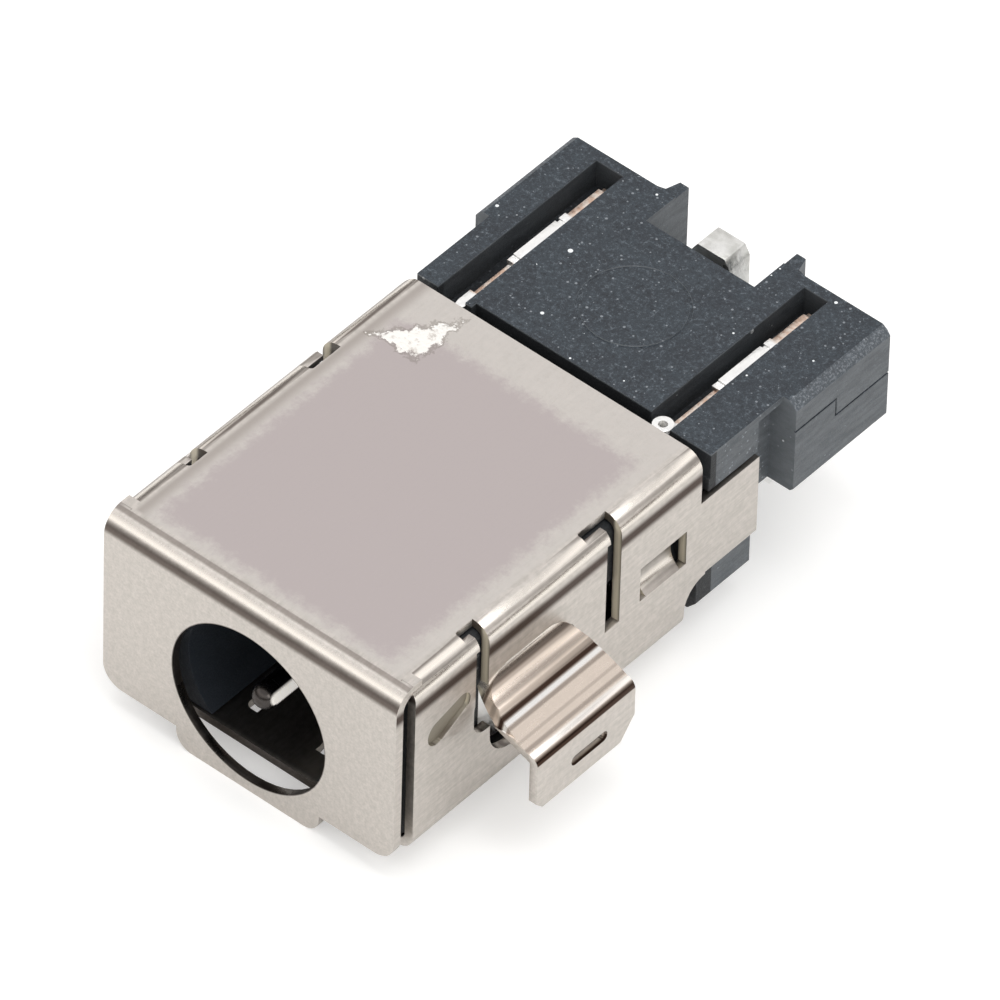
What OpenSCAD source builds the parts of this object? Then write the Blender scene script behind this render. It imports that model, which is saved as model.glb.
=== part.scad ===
// DC barrel jack, mid-mount style, for a thin plug barrel with a centre pin.
// Frame: X across the mouth, Y from the mouth to the rear, Z up.
// The origin is the centre of the mouth, on the plug axis.
// Heights in the modules are counted from the underside of the shell.
// The smooth top of the shell faces +Z and the solder tabs point down.

/* [Shell sheet] */
// Outer width of the folded shell
shell_width = 9.4; // [8:0.1:12]
// Outer height of the folded shell
shell_height = 5.5; // [4.5:0.1:7]
// Thickness of the folded sheet
sheet = 0.25; // [0.15:0.05:0.4]
// Outer radius of the four long folds
fold_radius = 0.5; // [0.35:0.05:0.8]
// Outer radius of the fold above the mouth
mouth_fold = 0.62; // [0.4:0.02:0.9]
// Where the two side walls start behind the mouth plate
wall_front = 0.55; // [0.4:0.05:0.9]
// Where the smooth top of the shell ends
top_end = 10.95; // [9:0.05:13]
// Where the bottom of the shell ends
bottom_end = 12.85; // [10:0.05:14]
// Where the long right-hand side strip ends
strip_end = 13.1; // [11:0.05:14]

/* [Mouth] */
// Radius of the plug opening
bore_radius = 2.4; // [1.8:0.05:3]
// Height of the plug axis above the shell bottom
axis_height = 2.05; // [1.6:0.05:3]
// Depth that a plug can go in from the mouth
plug_depth = 10.5; // [8:0.1:12]
// Width of the mouth plate
plate_width = 9.16; // [8:0.02:11]
// Width of the tongue that closes the ring under the opening
tongue_width = 4.5; // [3.5:0.1:6]
// How far the tongue hangs below the shell bottom
tongue_drop = 0.68; // [0.4:0.02:1]

/* [Slits and windows of the shell] */
// Front slit: where it starts along the top fold
front_slit = 2.55; // [2.3:0.05:2.7]
// Front slit: where it turns down the wall
front_turn = 2.98; // [2.8:0.02:3.2]
// Rear slit: where it starts along the top fold
rear_slit = 6.95; // [6.6:0.05:7.2]
// Rear slit: where it turns down the wall
rear_turn = 7.72; // [7.5:0.02:8]
// Front edge of the bridge that is bowed inwards
bow_front = 8.98; // [8.9:0.02:9.2]
// Rear edge of the bridge
bow_rear = 10.22; // [10:0.02:10.3]
// Height of the middle of the bridge
bow_z = 2.8; // [2.4:0.05:3.2]
// Half width of the spring window in the bottom
window_half = 1.3; // [1.1:0.05:1.5]
// Half width of a spring finger
finger_half = 0.92; // [0.7:0.02:1]

/* [Side tabs] */
// Distance of a solder tab's outer face from the side wall
tab_reach = 1.95; // [1.2:0.05:2.6]
// The same distance of the left tab, which is bent down a little more
left_tab_reach = 1.75; // [1.2:0.05:2.6]
// Height of the tab's shelf
tab_shelf = 2.72; // [2:0.02:3.4]
// Height of the tab's free edge
tab_foot = 1.05; // [0.4:0.05:1.6]
// Front edge of the tab
tab_front = 2.75; // [2:0.05:4]
// Rear edge of the tab
tab_rear = 6.3; // [5:0.05:7.2]

/* [Housing] */
// Half width of the rear wings
wing_half = 5.05; // [4.8:0.05:6]
// Where the rear wings start
wing_front = 14.0; // [13.2:0.05:15]
// Where the rear wings end
wing_rear = 17.5; // [16:0.05:19]
// Half width of the flanks in front of the wings
flank_half = 4.62; // [4.5:0.02:4.7]
// Underside of the wings, which sits on the board
wing_under = 2.25; // [1.8:0.05:3]
// Top face of the housing
housing_top = 5.2; // [4.5:0.05:6]

// Front edge of the bay for the centre terminal
bay_front = 16.4; // [15.8:0.05:16.9]
// Half width of that bay
bay_half = 1.7; // [1.4:0.05:2]
// Where the channels of the two contacts end
channel_rear = 17.2; // [17:0.02:17.3]
// Depth of the fine grooves and of the ejector ring
groove = 0.04; // [0.02:0.01:0.08]

/* [Contacts] */
// Thickness of the two side contacts
contact_sheet = 0.3; // [0.2:0.05:0.5]
// Distance of the right contact from the middle plane
right_x = 3.15; // [2.9:0.05:3.3]
// Distance of the left contact from the middle plane
left_x = 3.3; // [3.2:0.05:3.5]
// Front edge of a tail blade
blade_front = 15.0; // [14.9:0.05:15.2]
// Rear edge of a tail blade
blade_rear = 16.9; // [16.6:0.05:17]
// Height of the rows of tail tips
tail_tip = 0.4; // [0.3:0.05:1]
// Diameter of the centre pin
pin_diameter = 0.7; // [0.4:0.05:1.2]
// Where the tip of the centre pin is
pin_tip = 0.3; // [0.2:0.05:3]

/* [Hidden] */
$fn = 72;
half_w = shell_width / 2;
inner_w = half_w - sheet;
inner_top = shell_height - sheet;
// small overlap, room between pieces, room around the pin, reach of a cut past its piece
eps = 0.02;
air = 0.05;
slip = 0.01;
past = 1;
body_half = inner_w - air;
body_low = sheet + air;
contact_half = contact_sheet / 2;
pin_radius = pin_diameter / 2;
pin_end = 12.3;
strap_top = 2.56;
strap_low = 2.28;
post_low = 0.35;
post_high = 5.08;
strip_low = 4.3;
strip_top = 4.8;
channel_half = contact_half + air;
shelf_floor = 4.35;
spring_low = 0.9;
spring_high = 3.2;
bow_radius = 0.654;
bow_x = half_w + 0.354;

// A box given by its low and high corners.
module span(low, high) {
  translate(low) cube([high[0] - low[0], high[1] - low[1], high[2] - low[2]]);
}

// A flat shape drawn in X and Z, stretched along Y from y0 to y1.
module along_y(y0, y1) {
  translate([0, y1, 0]) rotate([90, 0, 0]) linear_extrude(y1 - y0) children();
}

// A flat shape drawn in Y and Z, stretched along X from x0 to x1.
module along_x(x0, x1) {
  translate([x0, 0, 0]) rotate([90, 0, 90]) linear_extrude(x1 - x0) children();
}

// A rounded rectangle between two corners.
module rounded(x0, z0, x1, z1, r) {
  translate([x0 + r, z0]) square([x1 - x0 - 2 * r, z1 - z0]);
  translate([x0, z0 + r]) square([x1 - x0, z1 - z0 - 2 * r]);
  translate([x0 + r, z0 + r]) circle(r);
  translate([x1 - r, z0 + r]) circle(r);
  translate([x0 + r, z1 - r]) circle(r);
  translate([x1 - r, z1 - r]) circle(r);
}

// Puts a piece that is drawn from the shell's underside into the part's frame.
module lowered() {
  translate([0, 0, -axis_height]) children();
}

// A right-hand feature and its mirror image on the left.
module both_sides() {
  children();
  mirror([1, 0, 0]) children();
}

// ---- the folded shell ----

// The wrapped sheet seen from the mouth: four walls and four long folds.
module wrap_section() {
  difference() {
    rounded(-half_w, 0, half_w, shell_height, fold_radius);
    rounded(-inner_w, sheet, inner_w, inner_top, fold_radius - sheet);
  }
}

// Side profile of the top sheet folding down over the mouth.
module mouth_profile() {
  translate([0, 0.9]) square([sheet, shell_height - mouth_fold - 0.9]);
  intersection() {
    translate([mouth_fold, shell_height - mouth_fold]) difference() {
      circle(mouth_fold);
      circle(mouth_fold - sheet);
    }
    translate([0, shell_height - mouth_fold]) square([mouth_fold, mouth_fold]);
  }
  translate([mouth_fold - eps, inner_top]) square([0.3, sheet]);
}

// The face of the mouth plate below its fold, with the tongue.
module mouth_face() {
  half = plate_width / 2;
  tongue = tongue_width / 2;
  rounded(-half, -0.05, half, 3.2, 0.6);
  translate([-half, 2]) square([plate_width, 1.2]);
  rounded(-tongue, -tongue_drop, tongue, 1, 0.5);
}

module mouth_plate() {
  along_x(-plate_width / 2, plate_width / 2) mouth_profile();
  difference() {
    along_y(0, sheet) mouth_face();
    span([-half_w, -past, 3.1], [half_w, past, 3.3]);
  }
}

// One solder tab: a lanced part of the wall, swung out, level, then down.
module tab_profile(reach, drop) {
  out = half_w + reach;
  knee = half_w + 0.68;
  root = 3.95;
  shelf = tab_shelf - drop;
  // concave flare from the wall
  difference() {
    polygon([[inner_w, root], [half_w, root], [knee, 3.24], [knee - 0.06, 2.97], [inner_w, root - 0.4]]);
    translate([half_w + 0.66, root + 0.08]) circle(0.66);
  }
  // shelf, a little lower at its outer edge
  polygon([[knee - 0.06, 2.97], [knee, 3.24], [out - 0.3, shelf + 0.08], [out - 0.3, shelf - 0.17]]);
  // outer fold
  intersection() {
    translate([out - 0.32, shelf - 0.24]) difference() {
      circle(0.32);
      circle(0.07);
    }
    translate([out - 0.32, shelf - 0.24]) square([0.4, 0.4]);
  }
  // foot
  translate([out - sheet, tab_foot - drop]) square([sheet, tab_shelf - 0.24 - tab_foot + eps]);
}

// The outline of the tab seen from its side: round shoulders, cut corners at the foot.
module tab_outline() {
  translate([tab_front, 2.6]) square([tab_rear - tab_front, 0.2]);
  translate([tab_front + 1.1, 2.7]) square([tab_rear - tab_front - 2, 1.25]);
  translate([tab_front + 1.25, 2.7]) circle(1.25);
  translate([tab_rear - 1, 2.95]) circle(1);
  translate([tab_front, 2.6]) square([1.2, 0.4]);
  translate([tab_rear - 1.2, 2.6]) square([1.2, 0.4]);
  polygon([[tab_front, 2.7], [tab_front, tab_foot + 0.22], [tab_front + 0.22, tab_foot],
    [tab_rear - 0.5, tab_foot], [tab_rear, tab_foot + 0.6], [tab_rear, 2.7]]);
}

module side_tab(reach, drop) {
  difference() {
    intersection() {
      along_y(tab_front, tab_rear) tab_profile(reach, drop);
      along_x(half_w - 1, half_w + 3) translate([0, -drop]) tab_outline();
    }
    // small slot in the foot
    along_x(half_w + 1, half_w + 3) translate([0, -drop]) rounded(4.0, 1.58, 5.3, 1.9, 0.15);
  }
}

// The hole that the tab leaves in the wall.
module tab_window() {
  along_x(inner_w - 0.5, half_w + 0.05) {
    rounded(3.3, 1.0, 6.9, 2.95, 0.85);
    rounded(tab_front - 0.05, 2.2, tab_rear + 0.05, 3.55, 0.45);
  }
}

// Relief slots in the top folds, and the slits that run down from them.
module side_reliefs() {
  slit(front_slit, front_turn, 2.6, 0.22);
  slit(rear_slit, rear_turn, 2.15, 0.28);
}

// A slot along the top fold that turns down the wall; its front edge is rolled in.
module slit(front, turn, foot, width) {
  rear = turn + width;
  translate([half_w - 0.46, front + 0.1, shell_height - 0.9]) cylinder(h = 2, r = 0.1);
  span([half_w - 0.56, front + 0.1, shell_height - 0.9], [half_w - 0.36, rear, shell_height + 1]);
  span([half_w - 0.46, front, shell_height - 0.12], [half_w + 1, rear, shell_height + 1]);
  span([half_w - 0.46, turn - 0.12, foot + 0.3], [half_w + 1, rear, shell_height + 1]);
  translate([0, 0, foot]) linear_extrude(shell_height - 0.45 - foot)
    polygon([[half_w + 0.1, turn - 0.3], [half_w + 0.1, rear], [inner_w - 0.2, rear], [inner_w - 0.2, turn]]);
}

// A spring finger in the bottom, drawn as its side profile.
module finger_front() {
  polygon([[1.2, 0], [1.6, 0], [2.95, 0.42], [3.5, 0.3], [3.56, 0.54], [2.9, 0.68], [1.55, sheet], [1.2, sheet]]);
}

module finger_rear() {
  polygon([[9.1, 0], [8.7, 0], [7.1, 0.12], [6.35, 0.42], [4.9, 0.02], [4.82, 0.26], [6.3, 0.68],
    [7.15, 0.37], [8.72, sheet], [9.1, sheet]]);
}

// A small hook lanced from the bottom, its tip pressed into the housing.
module hook_window() {
  translate([0, 0, -0.1]) linear_extrude(sheet + 0.2) {
    rounded(1.98, 9.95, 2.42, 11.95, 0.2);
    rounded(3.26, 9.95, 3.7, 11.95, 0.2);
    rounded(1.98, 9.95, 3.7, 10.9, 0.22);
  }
}

module hook_tongue() {
  along_x(2.45, 3.23) polygon([[12.0, 0], [11.7, 0.02], [11.05, 0.26], [11.0, 0.5], [11.7, 0.27], [12.0, sheet]]);
}

// A bridge between two slits of the rear wall, bowed inwards to hold the housing.
module bow() {
  intersection() {
    along_y(bow_front, bow_rear) difference() {
      translate([bow_x, bow_z]) circle(bow_radius + sheet);
      translate([bow_x, bow_z]) circle(bow_radius);
    }
    span([half_w - past, bow_front - past, bow_z - 0.6], [half_w, bow_rear + past, bow_z + 0.6]);
  }
}

module bow_window() {
  span([inner_w - 0.2, bow_front - 0.23, bow_z - 0.55], [half_w + 0.1, bow_rear + 0.23, bow_z + 0.55]);
}

module shell() {
  color([0.78, 0.76, 0.74])
  lowered() difference() {
    union() {
      difference() {
        along_y(wall_front, strip_end) wrap_section();
        // top ends here, side strips stay lower
        span([-half_w - past, top_end, 3.9], [half_w + past, strip_end + past, shell_height + past]);
        // bottom ends here
        span([-inner_w, bottom_end, -past], [half_w + past, strip_end + past, 1.4]);
        span([-half_w - past, bottom_end, -past], [0, strip_end + past, shell_height]);
        // left wall ends with the top
        span([-half_w - past, top_end, 0.8], [-3, strip_end + past, shell_height]);
        // rear right corner is cut back
        corner_cut();
        // the left end of the top fold has a round corner
        end_round();
        // spring window
        translate([0, 0, -past]) linear_extrude(2 * past) rounded(-window_half, 1.4, window_half, 8.85, 0.18);
        both_sides() tab_window();
        both_sides() side_reliefs();
        both_sides() bow_window();
        both_sides() hook_window();
        // pressed pocket near the mouth
        both_sides() wall_pocket();
      }
      mouth_plate();
      side_tab(tab_reach, 0);
      mirror([1, 0, 0]) side_tab(left_tab_reach, 0.12);
      both_sides() bow();
      both_sides() hook_tongue();
      along_x(-finger_half, finger_half) finger_front();
      along_x(-finger_half, finger_half) finger_rear();
    }
    // plug opening in the mouth plate
    translate([0, -past, axis_height]) rotate([-90, 0, 0]) cylinder(h = past + sheet + air, r = bore_radius);
  }
}

// A round corner where the top fold ends on the left.
module end_round() {
  translate([0, 0, 1.0]) linear_extrude(8) difference() {
    translate([-half_w - 1, top_end - 0.4]) square([1.4, 1]);
    translate([-half_w + 0.4, top_end - 0.4]) circle(0.4);
  }
}

// The cut at the rear right corner of the bottom.
module corner_cut() {
  translate([0, 0, -1]) linear_extrude(1.4) {
    translate([4.35, 10.9]) circle(0.45);
    translate([3.9, 10.9]) square([2, 3]);
    translate([4.35, 10.45]) square([2, 3]);
  }
  along_x(4.2, 5) {
    translate([10.45, -1]) square([3, 1.6]);
    translate([11.2, 0.6]) circle(0.75);
    translate([11.2, -0.2]) square([3, 1.62]);
  }
}

module wall_pocket() {
  along_x(half_w - 0.12, half_w + 0.1) {
    translate([1.4, 3.45]) circle(0.38);
    translate([2.25, 3.75]) circle(0.3);
    polygon([[1.27, 3.81], [2.15, 4.03], [2.35, 3.47], [1.53, 3.09]]);
  }
}

// ---- the moulded housing ----

module housing_mass() {
  // block inside the shell
  along_y(0.6, 13.0) rounded(-body_half, body_low, body_half, inner_top - air, fold_radius - sheet);
  // exposed left flank behind the shell wall
  span([-flank_half, top_end + 0.15, 0.95], [-3, 13.0, housing_top]);
  span([-flank_half - 0.33, top_end + 0.1, 0.86], [-4, 12.95, 1.9]);
  // exposed right rear corner
  corner_block();
  // rear deck above the board
  span([-flank_half, 12.5, wing_under], [body_half, wing_front + 0.5, housing_top]);
  // right flank above the strip
  span([2.0, top_end + 0.35, 4.0], [flank_half, wing_front + 0.5, housing_top]);
  wings();
}

module corner_block() {
  along_y(11.0, 13.0)
    polygon([[3.96, 0.12], [4.35, 0.12], [4.6, 0.4], [4.6, 1.3], [3.5, 1.3], [3.5, 0.5], [3.96, 0.5]]);
}

module wings() {
  difference() {
    along_y(wing_front, wing_rear) polygon([[-wing_half, wing_under + 0.1], [-wing_half + 0.1, wing_under],
      [wing_half - 0.1, wing_under], [wing_half, wing_under + 0.1], [wing_half, housing_top - 0.25],
      [wing_half - 0.1, housing_top - 0.1], [wing_half - 0.25, housing_top], [-wing_half + 0.25, housing_top],
      [-wing_half + 0.1, housing_top - 0.1], [-wing_half, housing_top - 0.25]]);
    // bay for the centre terminal
    span([-bay_half, bay_front, 0], [bay_half, wing_rear + past, housing_top + past]);
    // stepped parting line on both flanks
    both_sides() {
      span([wing_half - groove, wing_front - past, 4.25], [wing_half + past, 15.55, 4.31]);
      span([wing_half - groove, 15.49, 3.7], [wing_half + past, 15.55, 4.31]);
      span([wing_half - groove, 15.55, 3.7], [wing_half + past, wing_rear + past, 3.76]);
    }
  }
  both_sides() wing_rib();
}

module wing_rib() {
  translate([0, 0, wing_under]) linear_extrude(housing_top - wing_under - 0.05)
    polygon([[bay_half, channel_rear], [2.4, channel_rear], [2.45, wing_rear],
      [2.1, wing_rear + 0.1], [1.98, wing_rear + 0.5], [bay_half, wing_rear + 0.5]]);
}

// A contact's channel, with a shallow shelf beside it, and room for its spring.
module contact_slot(x, shelf_near, shelf_far) {
  top = housing_top + past;
  span([x - channel_half, top_end - 0.1, 2.6], [x + channel_half, channel_rear, top]);
  span([shelf_near, top_end - 0.1, shelf_floor], [shelf_far, channel_rear, top]);
  // opening for the blade
  span([x - channel_half, blade_front - 0.1, wing_under - past], [x + channel_half, blade_rear + 0.2, 3]);
  // room for the folded spring, open to the bore and to the hole behind the tab
  span([1.2, 3.2, 0.75], [half_w + 0.3, 9.3, 3.35]);
  span([x - 0.42, 8.0, 0.85], [x + channel_half, top_end, 3.35]);
  span([x - 0.42, 9.1, 1.2], [x + channel_half, top_end, 4.7]);
}

// The dark groove between the shell's top and the deck.
module deck_groove() {
  top = housing_top + past;
  span([-body_half - past, top_end - 0.1, 4.4], [body_half + past, top_end + 0.4, top]);
  span([-2.9, top_end - 0.1, 4.4], [2.7, top_end + 0.58, top]);
}

// A shallow ring that an ejector pin left on the deck.
module ejector_ring() {
  translate([0, 13.95, housing_top - groove]) difference() {
    cylinder(h = past, r = 1.42);
    translate([0, 0, -past]) cylinder(h = 3 * past, r = 1.33);
  }
}

module housing() {
  color([0.16, 0.18, 0.2])
  lowered() difference() {
    housing_mass();
    // plug bore
    translate([0, -past, axis_height]) rotate([-90, 0, 0]) cylinder(h = plug_depth + past, r = bore_radius);
    // room for the spring fingers
    span([-1.35, 0, 0], [1.35, 9.2, 1.2]);
    // hole for the centre pin
    translate([0, 9, axis_height]) rotate([-90, 0, 0]) cylinder(h = 4, r = pin_radius + slip);
    // the shelf is on the left of both channels
    contact_slot(right_x, 2.6, 3.0);
    mirror([1, 0, 0]) contact_slot(left_x, 3.45, 3.95);
    deck_groove();
    ejector_ring();
    // groove for the bowed bridges of the shell
    both_sides() along_y(bow_front - 0.38, bow_rear + 0.38)
      translate([bow_x, bow_z]) circle(bow_radius + sheet + air);
    // the flanks are cut back in front of the wings
    both_sides() span([4.25, strip_end + eps, 0], [half_w + past, wing_front, housing_top - 0.2]);
    // pockets for the hooks
    both_sides() span([1.9, 9.9, 0], [3.8, 12.1, 0.8]);
    // room for the strap
    span([-0.75, 11.9, 1.7], [1.45, wing_rear + past, strap_top + 0.04]);
    span([-0.75, 11.9, 1.7], [0.75, 13.05, 2.9]);
  }
}

// ---- the current-carrying pieces ----

module center_pin() {
  color([0.83, 0.8, 0.74]) lowered() {
    translate([0, pin_tip + pin_radius, axis_height]) rotate([-90, 0, 0])
      cylinder(h = pin_end - pin_tip - pin_radius, r = pin_radius);
    translate([0, pin_tip + pin_radius, axis_height]) sphere(pin_radius);
  }
}

module pin_terminal() {
  color([0.8, 0.78, 0.72])
  lowered() difference() {
    union() {
      // strap under the deck
      span([-0.6, 12.05, 2.0], [0.6, 12.95, strap_top]);
      span([0.05, 12.9, strap_low], [0.6, 14.4, strap_top]);
      span([0.05, 14.3, strap_low], [1.35, 16.3, strap_top]);
      span([0.3, 16.2, strap_low], [0.64, 17.1, strap_top]);
      // upright tail
      along_y(16.72, wing_rear) polygon([[-0.52, post_low + 0.4], [-0.3, post_low], [0.42, post_low],
        [0.66, post_low + 0.4], [0.66, post_high - 0.28], [0.5, post_high], [-0.34, post_high],
        [-0.52, post_high - 0.28]]);
    }
    translate([0, 11, axis_height]) rotate([-90, 0, 0]) cylinder(h = 1.32, r = pin_radius + slip);
  }
}

// Plan of the folded spring: out along the wall, around, and back to the bore.
module contact_plan(low, high) {
  polygon([[low, 10.0], [high, 10.0], [high, 9.2], [4.15, 7.9], [4.15, 4.1], [3.95, 3.65], [3.6, 3.45],
    [3.2, 3.6], [2.2, 5.1], [1.98, 5.9], [2.2, 6.7], [2.75, 7.7], [2.98, 7.5], [2.5, 6.6],
    [2.28, 5.9], [2.5, 5.2], [3.3, 3.95], [3.6, 3.75], [3.8, 3.9], [3.85, 4.2], [3.85, 7.7], [low, 8.9]]);
}

// A length of the strip's top edge, a little wider and higher than the rest.
module strip_rise(x, y0, y1, wider, higher) {
  span([x - contact_half - wider, y0, strip_low], [x + contact_half + wider, y1, strip_top + higher]);
}

// A contact with its strip at x; it is drawn for the right side.
module contact(x) {
  low = x - contact_half;
  high = x + contact_half;
  translate([0, 0, spring_low]) linear_extrude(spring_high - spring_low) contact_plan(low, high);
  // carrier strip in the channel, its top edge stepped
  span([low, 9.3, 1.3], [high, 10.6, strip_low]);
  span([low, 10.4, 2.7], [high, blade_rear, strip_low + 0.2]);
  strip_rise(x, 11.8, blade_rear, 0, 0);
  strip_rise(x, 13.35, 13.6, 0.04, 0.14);
  strip_rise(x, 13.55, 15.1, 0.02, 0.2);
  strip_rise(x, 15.05, blade_rear - 0.2, 0, 0.12);
  strip_rise(x, 15.25, 15.5, 0.04, 0.16);
  // tail blade through the board
  along_x(low, high) polygon([[blade_front, 2.8], [blade_front, tail_tip + 0.35], [blade_front + 0.3, tail_tip],
    [blade_rear - 0.4, tail_tip], [blade_rear, tail_tip + 0.35], [blade_rear, 2.8]]);
}

// A small curl at the front end of the right contact's top edge.
module curl() {
  base = 4.37;
  translate([right_x - 0.09, 11.42, base]) difference() {
    cylinder(h = 0.78, r = 0.27);
    translate([0, 0, -past]) cylinder(h = 3 * past, r = 0.12);
    translate([-past, -1.05, -past]) cube([2, 0.85, 3]);
  }
  span([right_x - contact_half, 11.5, strip_low - 0.1], [right_x + contact_half, 11.9, strip_low + 0.4]);
}

// The pointed front end of the left contact's top edge.
module pointed_end(x) {
  translate([0, 0, strip_low]) linear_extrude(0.68)
    polygon([[x - contact_half, 11.95], [x - contact_half, 11.5], [x - 0.02, 11.05], [x + 0.06, 11.05],
      [x + contact_half, 11.5], [x + contact_half, 11.95]]);
}

module right_contact() {
  color([0.82, 0.78, 0.7]) lowered() {
    contact(right_x);
    curl();
  }
}

module left_contact() {
  color([0.82, 0.78, 0.7]) lowered() mirror([1, 0, 0]) {
    contact(left_x);
    pointed_end(left_x);
  }
}

shell();
housing();
center_pin();
pin_terminal();
left_contact();
right_contact();
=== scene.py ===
# %% [markdown]
# # A shielded DC power jack
# The jack is a folded, nickel-plated sheet-metal shell around a black glass-filled nylon block,
# with a centre pin and three tinned contacts. Every solid comes from the CAD model.
# This lesson gives the solids their soft edges and their finishes, and sets up a small studio.

# %% Load the solids
import math

import bpy
from mathutils import Matrix, Vector


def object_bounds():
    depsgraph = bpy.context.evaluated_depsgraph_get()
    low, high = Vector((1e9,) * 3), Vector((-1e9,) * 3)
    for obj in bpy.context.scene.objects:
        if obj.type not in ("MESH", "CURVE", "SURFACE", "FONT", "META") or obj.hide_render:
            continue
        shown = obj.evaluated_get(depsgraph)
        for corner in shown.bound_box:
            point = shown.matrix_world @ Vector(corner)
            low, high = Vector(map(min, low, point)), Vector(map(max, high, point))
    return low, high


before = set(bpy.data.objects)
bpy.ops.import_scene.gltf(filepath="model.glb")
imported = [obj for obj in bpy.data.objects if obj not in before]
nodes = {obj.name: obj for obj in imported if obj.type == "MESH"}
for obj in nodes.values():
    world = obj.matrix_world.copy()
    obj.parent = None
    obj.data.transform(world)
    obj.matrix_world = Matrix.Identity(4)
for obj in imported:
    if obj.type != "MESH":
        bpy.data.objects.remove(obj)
cad_low, cad_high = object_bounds()
MM = 0.001
print("pieces:", ", ".join(sorted(nodes)))
print("size in mm:", [round(v / MM, 2) for v in cad_high - cad_low])


# %% [markdown]
# ## Soft edges
# Sheared sheet and moulded plastic never have knife edges. A tiny bevel catches the light along
# each one, and faces that meet at a shallow angle are shaded as one smooth fold.
# Both are modifiers, so the solids themselves stay as they were built.
# The facets arrive unwelded, so they are welded first, and the facets of each flat are joined
# into one face, which bevels cleanly. Shading by angle comes after the bevel, and last the large
# faces are weighted over the small ones, so that a flat stays flat beside a fold.

# %% Weld and shading by angle, as two small node trees
WELD_DISTANCE = 0.002 * MM
EDGE_ANGLE = math.radians(32)
FLAT_ANGLE = math.radians(0.5)


def geometry_tree(name):
    tree = bpy.data.node_groups.new(name, "GeometryNodeTree")
    tree.interface.new_socket("Geometry", in_out="INPUT", socket_type="NodeSocketGeometry")
    tree.interface.new_socket("Geometry", in_out="OUTPUT", socket_type="NodeSocketGeometry")
    start = tree.nodes.new("NodeGroupInput")
    end = tree.nodes.new("NodeGroupOutput")
    return tree, start, end


def weld_tree():
    tree, start, end = geometry_tree("weld facets")
    merge = tree.nodes.new("GeometryNodeMergeByDistance")
    merge.inputs["Distance"].default_value = WELD_DISTANCE
    tree.links.new(start.outputs[0], merge.inputs["Geometry"])
    tree.links.new(merge.outputs["Geometry"], end.inputs[0])
    return tree


def angle_tree():
    tree, start, end = geometry_tree("smooth by angle")
    angle = tree.nodes.new("GeometryNodeInputMeshEdgeAngle")
    compare = tree.nodes.new("FunctionNodeCompare")
    compare.operation = "LESS_THAN"
    compare.inputs[1].default_value = EDGE_ANGLE
    faces = tree.nodes.new("GeometryNodeSetShadeSmooth")
    faces.domain = "FACE"
    edges = tree.nodes.new("GeometryNodeSetShadeSmooth")
    edges.domain = "EDGE"
    tree.links.new(angle.outputs["Unsigned Angle"], compare.inputs[0])
    tree.links.new(start.outputs[0], faces.inputs["Geometry"])
    tree.links.new(faces.outputs["Geometry"], edges.inputs["Geometry"])
    tree.links.new(compare.outputs["Result"], edges.inputs["Shade Smooth"])
    tree.links.new(edges.outputs["Geometry"], end.inputs[0])
    return tree


weld = weld_tree()
by_angle = angle_tree()
print("node trees:", weld.name, "and", by_angle.name)


# %% Soften the edges of each piece
BEVEL_STEPS = 2


def soften(piece, width_mm):
    piece.modifiers.new("weld", "NODES").node_group = weld
    whole = piece.modifiers.new("one face per flat", "DECIMATE")
    whole.decimate_type = "DISSOLVE"
    whole.angle_limit = FLAT_ANGLE
    bevel = piece.modifiers.new("soft edges", "BEVEL")
    bevel.width = width_mm * MM
    bevel.segments = BEVEL_STEPS
    bevel.limit_method = "ANGLE"
    bevel.angle_limit = EDGE_ANGLE
    bevel.use_clamp_overlap = True
    bevel.miter_outer = "MITER_ARC"
    piece.modifiers.new("smooth", "NODES").node_group = by_angle
    even = piece.modifiers.new("flats stay flat", "WEIGHTED_NORMAL")
    even.keep_sharp = True
    even.weight = 100


EDGE_WIDTHS = {
    "shell": 0.035,
    "housing": 0.05,
    "center_pin": 0.02,
    "pin_terminal": 0.06,
    "left_contact": 0.035,
    "right_contact": 0.035,
}
for name, width in EDGE_WIDTHS.items():
    soften(nodes[name], width)
print("softened", len(EDGE_WIDTHS), "pieces")


# %% [markdown]
# ## Effects shared by several finishes
# Each effect is a shader node group with named sockets. It puts out masks and heights only,
# and a material decides what they do to its colour, roughness and bump.
# All patterns are laid out in millimetres on the solid, so they keep the real scale.

# %% Helpers for shader nodes
def shader_group(name, inputs, outputs):
    tree = bpy.data.node_groups.new(name, "ShaderNodeTree")
    for label, value in inputs.items():
        socket = tree.interface.new_socket(label, in_out="INPUT", socket_type="NodeSocketFloat")
        socket.default_value = value
    for label in outputs:
        tree.interface.new_socket(label, in_out="OUTPUT", socket_type="NodeSocketFloat")
    return tree, tree.nodes.new("NodeGroupInput"), tree.nodes.new("NodeGroupOutput")


def math_node(tree, operation, first, second=None, third=None, clamp=False):
    node = tree.nodes.new("ShaderNodeMath")
    node.operation = operation
    node.use_clamp = clamp
    for slot, value in zip(node.inputs, (first, second, third)):
        if isinstance(value, (int, float)):
            slot.default_value = value
        elif value is not None:
            tree.links.new(value, slot)
    return node.outputs[0]


def millimetres(tree, stretch=(1.0, 1.0, 1.0)):
    place = tree.nodes.new("ShaderNodeTexCoord")
    scale = tree.nodes.new("ShaderNodeVectorMath")
    scale.operation = "MULTIPLY"
    scale.inputs[1].default_value = [s / MM for s in stretch]
    tree.links.new(place.outputs["Object"], scale.inputs[0])
    return scale.outputs[0]


def noise(tree, vector, scale, detail, roughness):
    node = tree.nodes.new("ShaderNodeTexNoise")
    node.inputs["Scale"].default_value = scale
    node.inputs["Detail"].default_value = detail
    node.inputs["Roughness"].default_value = roughness
    tree.links.new(vector, node.inputs["Vector"])
    return node.outputs["Fac"]


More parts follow.
